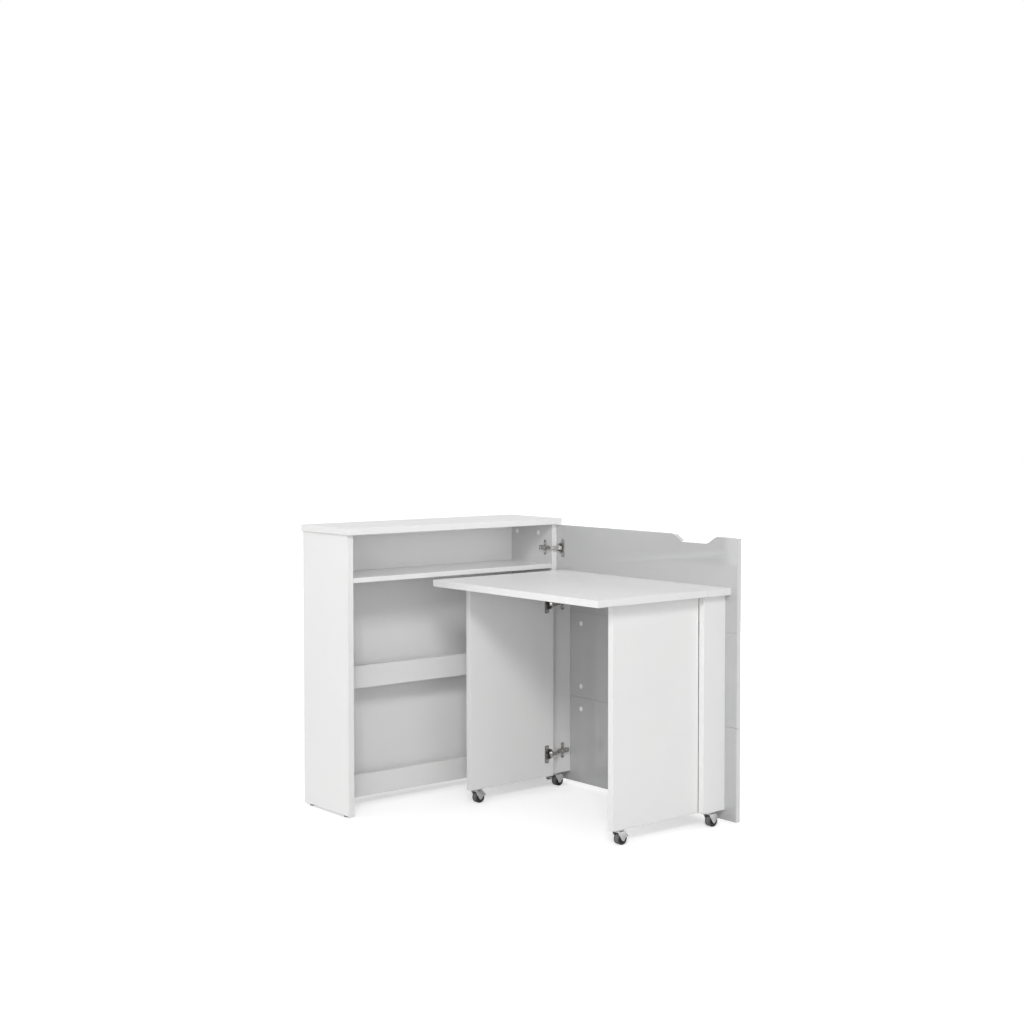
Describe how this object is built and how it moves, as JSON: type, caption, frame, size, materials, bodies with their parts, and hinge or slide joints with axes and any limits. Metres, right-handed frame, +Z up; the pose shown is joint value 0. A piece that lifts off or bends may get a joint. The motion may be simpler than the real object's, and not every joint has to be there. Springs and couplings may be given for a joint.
{
  "type": "sewing table",
  "caption": "Shallow open cabinet whose hinged door carries a folding table: fixed strip, hinged leaf, swing-out leg panels and swivel casters, shown open with its leaf up",
  "frame": {"origin": "on the floor, in the middle of the open desk's bounding box", "axes": "+X runs along the cabinet to its right, where the door is hinged; the cabinet faces -Y, and the open door runs out along -Y; +Z is up"},
  "size_m": [0.9114, 1.151, 0.945],
  "materials": {
    "white_board": "white satin laminate over particle board, edged all round",
    "gloss_white_board": "white high-gloss laminate over particle board",
    "dowel_wood": "plain beech, hidden in the joints",
    "white_plastic": "white moulded cover caps",
    "glide_plastic": "pale grey moulded glides",
    "zinc_casting": "zinc alloy cam fittings and bolts",
    "nickel_steel": "nickel-plated pressed steel",
    "screw_steel": "zinc-plated screws",
    "caster_steel": "bright zinc-plated pressed steel",
    "wheel_plastic": "black nylon hub",
    "tyre_rubber": "dark grey soft tread"
  },
  "bodies": {
    "cabinet": {"left_side_panel": "white_board", "right_side_panel": "white_board", "top_panel": "white_board", "back_panel": "gloss_white_board", "upper_shelf": "white_board", "middle_shelf": "white_board", "bottom_shelf": "white_board", "middle_shelf_lip": "white_board", "bottom_shelf_lip": "white_board", "cabinet_glides": "glide_plastic", "carcass_cam_fittings": "zinc_casting", "carcass_cam_caps": "white_plastic", "carcass_dowels": "dowel_wood", "door_hinge_plates": "nickel_steel", "door_hinge_screws": "screw_steel", "door_hinge_arms": "nickel_steel", "door_hinge_pins": "nickel_steel"},
    "door": {"door_board_bottom": "gloss_white_board", "door_board_middle": "gloss_white_board", "door_board_top": "gloss_white_board", "door_cam_fittings": "zinc_casting", "door_cam_caps": "white_plastic", "door_hinge_cups": "nickel_steel", "door_hinge_links": "nickel_steel", "rear_fin_panel": "white_board", "front_fin_panel": "white_board", "fixed_top_strip": "white_board", "desk_dowels": "dowel_wood", "leaf_hinge_fixed_flaps": "nickel_steel", "desk_hinge_pins": "nickel_steel", "leg_hinge_plates": "nickel_steel", "leg_hinge_screws": "screw_steel", "leg_hinge_arms": "nickel_steel", "fin_caster_plates": "caster_steel"},
    "leaf": {"table_leaf": "white_board", "leaf_hinge_moving_flaps": "nickel_steel"},
    "rear_leg": {"rear_leg_panel": "white_board", "rear_leg_hinge_cups": "nickel_steel", "rear_leg_caster_plate": "caster_steel"},
    "front_leg": {"front_leg_panel": "white_board", "front_leg_hinge_cups": "nickel_steel", "front_leg_caster_plate": "caster_steel"},
    "rear_leg_link": {"rear_leg_hinge_links": "nickel_steel"},
    "front_leg_link": {"front_leg_hinge_links": "nickel_steel"},
    "rear_leg_caster_swivel": {"rear_leg_caster_fork": "caster_steel", "rear_leg_caster_axle": "caster_steel"},
    "rear_leg_caster_roller": {"rear_leg_caster_wheel": "wheel_plastic", "rear_leg_caster_tyre": "tyre_rubber"},
    "front_leg_caster_swivel": {"front_leg_caster_fork": "caster_steel", "front_leg_caster_axle": "caster_steel"},
    "front_leg_caster_roller": {"front_leg_caster_wheel": "wheel_plastic", "front_leg_caster_tyre": "tyre_rubber"},
    "rear_fin_caster_swivel": {"rear_fin_caster_fork": "caster_steel", "rear_fin_caster_axle": "caster_steel"},
    "rear_fin_caster_roller": {"rear_fin_caster_wheel": "wheel_plastic", "rear_fin_caster_tyre": "tyre_rubber"},
    "front_fin_caster_swivel": {"front_fin_caster_fork": "caster_steel", "front_fin_caster_axle": "caster_steel"},
    "front_fin_caster_roller": {"front_fin_caster_wheel": "wheel_plastic", "front_fin_caster_tyre": "tyre_rubber"}
  },
  "joints": [
    {"name": "door_swing", "type": "hinge", "parent": "cabinet", "child": "door", "pos_m": [0.43625, 0.3035, 0], "axis": [0, 0, 1], "range_deg": [-20, 15]},
    {"name": "leaf_lift", "type": "hinge", "parent": "door", "child": "leaf", "pos_m": [0.33525, -0.13675, 0.7412], "axis": [0, 1, 0], "range_deg": [0, 4]},
    {"name": "rear_leg_fold", "type": "hinge", "parent": "door", "child": "rear_leg", "pos_m": [0.34025, 0.2295, 0], "axis": [0, 0, 1], "range_deg": [0, 90]},
    {"name": "front_leg_fold", "type": "hinge", "parent": "door", "child": "front_leg", "pos_m": [0.34025, -0.503, 0], "axis": [0, 0, 1], "range_deg": [-90, 0]},
    {"name": "rear_leg_link_turn", "type": "hinge", "parent": "door", "child": "rear_leg_link", "pos_m": [0.36975, 0.2175, 0], "axis": [0, 0, 1], "range_deg": [0, 90]},
    {"name": "front_leg_link_turn", "type": "hinge", "parent": "door", "child": "front_leg_link", "pos_m": [0.36975, -0.491, 0], "axis": [0, 0, 1], "range_deg": [-90, 0]},
    {"name": "rear_leg_caster_turn", "type": "hinge", "parent": "rear_leg", "child": "rear_leg_caster_swivel", "pos_m": [0.00575, 0.218, 0], "axis": [0, 0, 1], "continuous": true},
    {"name": "rear_leg_wheel_roll", "type": "hinge", "parent": "rear_leg_caster_swivel", "child": "rear_leg_caster_roller", "pos_m": [0.01575, 0.218, 0.018], "axis": [0, 1, 0], "continuous": true},
    {"name": "front_leg_caster_turn", "type": "hinge", "parent": "front_leg", "child": "front_leg_caster_swivel", "pos_m": [0.00575, -0.4915, 0], "axis": [0, 0, 1], "continuous": true},
    {"name": "front_leg_wheel_roll", "type": "hinge", "parent": "front_leg_caster_swivel", "child": "front_leg_caster_roller", "pos_m": [0.01575, -0.4915, 0.018], "axis": [0, 1, 0], "continuous": true},
    {"name": "rear_fin_caster_turn", "type": "hinge", "parent": "door", "child": "rear_fin_caster_swivel", "pos_m": [0.37675, 0.2415, 0], "axis": [0, 0, 1], "continuous": true},
    {"name": "rear_fin_wheel_roll", "type": "hinge", "parent": "rear_fin_caster_swivel", "child": "rear_fin_caster_roller", "pos_m": [0.38675, 0.2415, 0.018], "axis": [0, 1, 0], "continuous": true},
    {"name": "front_fin_caster_turn", "type": "hinge", "parent": "door", "child": "front_fin_caster_swivel", "pos_m": [0.37675, -0.515, 0], "axis": [0, 0, 1], "continuous": true},
    {"name": "front_fin_wheel_roll", "type": "hinge", "parent": "front_fin_caster_swivel", "child": "front_fin_caster_roller", "pos_m": [0.38675, -0.515, 0.018], "axis": [0, 1, 0], "continuous": true}
  ],
  "couplings": [
    {"joint": "rear_leg_link_turn", "follows": "rear_leg_fold", "ratio": 1},
    {"joint": "front_leg_link_turn", "follows": "front_leg_fold", "ratio": 1}
  ]
}
